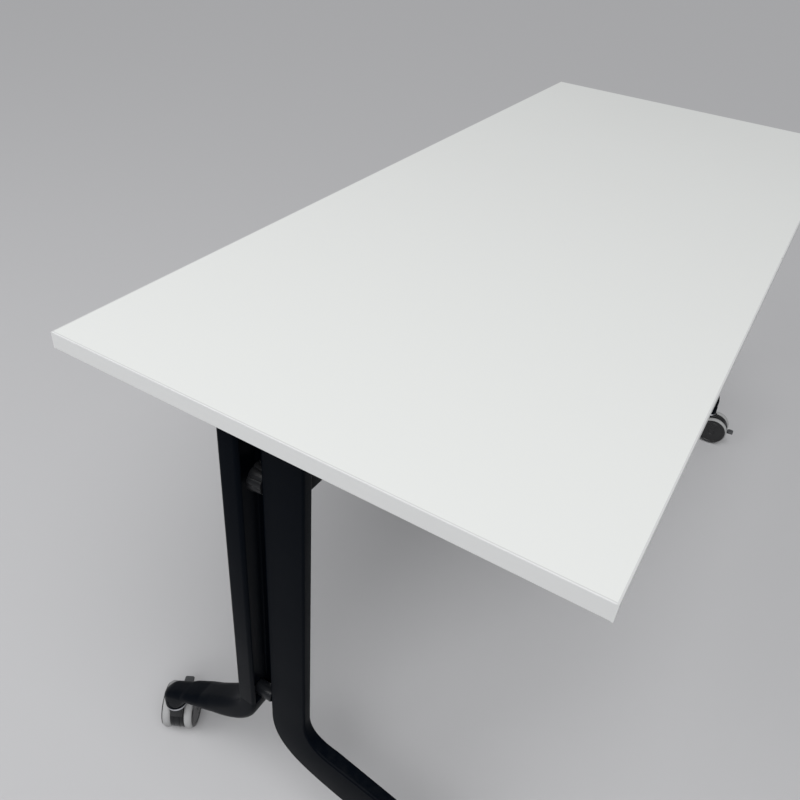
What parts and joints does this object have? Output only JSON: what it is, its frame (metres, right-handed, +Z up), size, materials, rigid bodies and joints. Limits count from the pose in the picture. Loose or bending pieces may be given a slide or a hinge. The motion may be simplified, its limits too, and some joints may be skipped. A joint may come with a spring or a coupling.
{
  "type": "flip top training table",
  "caption": "Training table whose white laminate top tilts upright on slim black legs, with a latch bar under the top and braked swivel casters.",
  "frame": {"origin": "on the floor, under the middle of the whole table with its casters", "axes": "+X along the table, +Y from the side where a person sits to the far side, +Z up"},
  "size_m": [1.4, 0.6366, 0.75],
  "materials": {
    "white_laminate": "white melamine laminate on particle board, satin",
    "white_edging": "white edging strip, satin",
    "leg_coat": "cast aluminium, black powder coat, satin",
    "beam_coat": "steel, black powder coat, satin",
    "black_plastic": "moulded black nylon, satin",
    "grey_plastic": "moulded dark grey nylon",
    "grey_rubber": "soft grey tread",
    "zinc_steel": "bright zinc plate"
  },
  "bodies": {
    "base": {"cross_beam": "beam_coat", "front_leg_left": "leg_coat", "rear_leg_left": "leg_coat", "upper_spacer_left": "black_plastic", "lower_spacer_left": "leg_coat", "rest_bumper_left": "grey_rubber", "leg_head_left": "leg_coat", "pivot_pin_left": "zinc_steel", "latch_striker_left": "zinc_steel", "front_leg_right": "leg_coat", "rear_leg_right": "leg_coat", "upper_spacer_right": "black_plastic", "lower_spacer_right": "leg_coat", "rest_bumper_right": "grey_rubber", "leg_head_right": "leg_coat", "pivot_pin_right": "zinc_steel", "latch_striker_right": "zinc_steel"},
    "top": {"tabletop_core": "white_laminate", "edge_band_front": "white_edging", "edge_band_rear": "white_edging", "edge_band_left": "white_edging", "edge_band_right": "white_edging", "top_bracket_left": "beam_coat", "pivot_bush_left": "grey_plastic", "top_bracket_right": "beam_coat", "pivot_bush_right": "grey_plastic"},
    "latch": {"latch_bar": "zinc_steel", "latch_hook_left": "zinc_steel", "latch_handle_left": "black_plastic", "latch_hook_right": "zinc_steel", "latch_handle_right": "black_plastic"},
    "caster_front_left": {"caster_body_front_left": "black_plastic", "caster_axle_front_left": "zinc_steel"},
    "pedal_front_left": {"brake_pedal_front_left": "grey_plastic"},
    "wheel_front_left_a": {"wheel_hub_front_left_a": "black_plastic", "wheel_tread_front_left_a": "grey_rubber"},
    "wheel_front_left_b": {"wheel_hub_front_left_b": "black_plastic", "wheel_tread_front_left_b": "grey_rubber"},
    "caster_rear_left": {"caster_body_rear_left": "black_plastic", "caster_axle_rear_left": "zinc_steel"},
    "pedal_rear_left": {"brake_pedal_rear_left": "grey_plastic"},
    "wheel_rear_left_a": {"wheel_hub_rear_left_a": "black_plastic", "wheel_tread_rear_left_a": "grey_rubber"},
    "wheel_rear_left_b": {"wheel_hub_rear_left_b": "black_plastic", "wheel_tread_rear_left_b": "grey_rubber"},
    "caster_front_right": {"caster_body_front_right": "black_plastic", "caster_axle_front_right": "zinc_steel"},
    "pedal_front_right": {"brake_pedal_front_right": "grey_plastic"},
    "wheel_front_right_a": {"wheel_hub_front_right_a": "black_plastic", "wheel_tread_front_right_a": "grey_rubber"},
    "wheel_front_right_b": {"wheel_hub_front_right_b": "black_plastic", "wheel_tread_front_right_b": "grey_rubber"},
    "caster_rear_right": {"caster_body_rear_right": "black_plastic", "caster_axle_rear_right": "zinc_steel"},
    "pedal_rear_right": {"brake_pedal_rear_right": "grey_plastic"},
    "wheel_rear_right_a": {"wheel_hub_rear_right_a": "black_plastic", "wheel_tread_rear_right_a": "grey_rubber"},
    "wheel_rear_right_b": {"wheel_hub_rear_right_b": "black_plastic", "wheel_tread_rear_right_b": "grey_rubber"}
  },
  "joints": [
    {"name": "top_flip", "type": "hinge", "parent": "base", "child": "top", "pos_m": [0, 0.10103, 0.694], "axis": [-1, 0, 0], "range_deg": [0, 90]},
    {"name": "latch_turn", "type": "hinge", "parent": "top", "child": "latch", "pos_m": [0, -0.02297, 0.714], "axis": [1, 0, 0], "range_deg": [0, 28]},
    {"name": "swivel_front_left", "type": "hinge", "parent": "base", "child": "caster_front_left", "pos_m": [-0.654, -0.24897, 0.077], "axis": [0, 0, 1], "continuous": true},
    {"name": "pedal_front_left", "type": "hinge", "parent": "caster_front_left", "child": "pedal_front_left", "pos_m": [-0.65053, -0.26867, 0.035], "axis": [-0.9848, -0.1736, 0], "range_deg": [0, 18]},
    {"name": "spin_front_left_a", "type": "hinge", "parent": "caster_front_left", "child": "wheel_front_left_a", "pos_m": [-0.65053, -0.26867, 0.035], "axis": [0.9848, 0.1736, 0], "continuous": true},
    {"name": "spin_front_left_b", "type": "hinge", "parent": "caster_front_left", "child": "wheel_front_left_b", "pos_m": [-0.65053, -0.26867, 0.035], "axis": [0.9848, 0.1736, 0], "continuous": true},
    {"name": "swivel_rear_left", "type": "hinge", "parent": "base", "child": "caster_rear_left", "pos_m": [-0.66, 0.27203, 0.077], "axis": [0, 0, 1], "continuous": true},
    {"name": "pedal_rear_left", "type": "hinge", "parent": "caster_rear_left", "child": "pedal_rear_left", "pos_m": [-0.64251, 0.28172, 0.035], "axis": [0.4848, -0.8746, 0], "range_deg": [0, 18]},
    {"name": "spin_rear_left_a", "type": "hinge", "parent": "caster_rear_left", "child": "wheel_rear_left_a", "pos_m": [-0.64251, 0.28172, 0.035], "axis": [-0.4848, 0.8746, 0], "continuous": true},
    {"name": "spin_rear_left_b", "type": "hinge", "parent": "caster_rear_left", "child": "wheel_rear_left_b", "pos_m": [-0.64251, 0.28172, 0.035], "axis": [-0.4848, 0.8746, 0], "continuous": true},
    {"name": "swivel_front_right", "type": "hinge", "parent": "base", "child": "caster_front_right", "pos_m": [0.654, -0.24897, 0.077], "axis": [0, 0, 1], "continuous": true},
    {"name": "pedal_front_right", "type": "hinge", "parent": "caster_front_right", "child": "pedal_front_right", "pos_m": [0.65539, -0.26892, 0.035], "axis": [-0.9976, -0.0698, 0], "range_deg": [0, 18]},
    {"name": "spin_front_right_a", "type": "hinge", "parent": "caster_front_right", "child": "wheel_front_right_a", "pos_m": [0.65539, -0.26892, 0.035], "axis": [0.9976, 0.0698, 0], "continuous": true},
    {"name": "spin_front_right_b", "type": "hinge", "parent": "caster_front_right", "child": "wheel_front_right_b", "pos_m": [0.65539, -0.26892, 0.035], "axis": [0.9976, 0.0698, 0], "continuous": true},
    {"name": "swivel_rear_right", "type": "hinge", "parent": "base", "child": "caster_rear_right", "pos_m": [0.66, 0.27203, 0.077], "axis": [0, 0, 1], "continuous": true},
    {"name": "pedal_rear_right", "type": "hinge", "parent": "caster_rear_right", "child": "pedal_rear_right", "pos_m": [0.64187, 0.28048, 0.035], "axis": [0.4226, 0.9063, 0], "range_deg": [0, 18]},
    {"name": "spin_rear_right_a", "type": "hinge", "parent": "caster_rear_right", "child": "wheel_rear_right_a", "pos_m": [0.64187, 0.28048, 0.035], "axis": [-0.4226, -0.9063, 0], "continuous": true},
    {"name": "spin_rear_right_b", "type": "hinge", "parent": "caster_rear_right", "child": "wheel_rear_right_b", "pos_m": [0.64187, 0.28048, 0.035], "axis": [-0.4226, -0.9063, 0], "continuous": true}
  ]
}
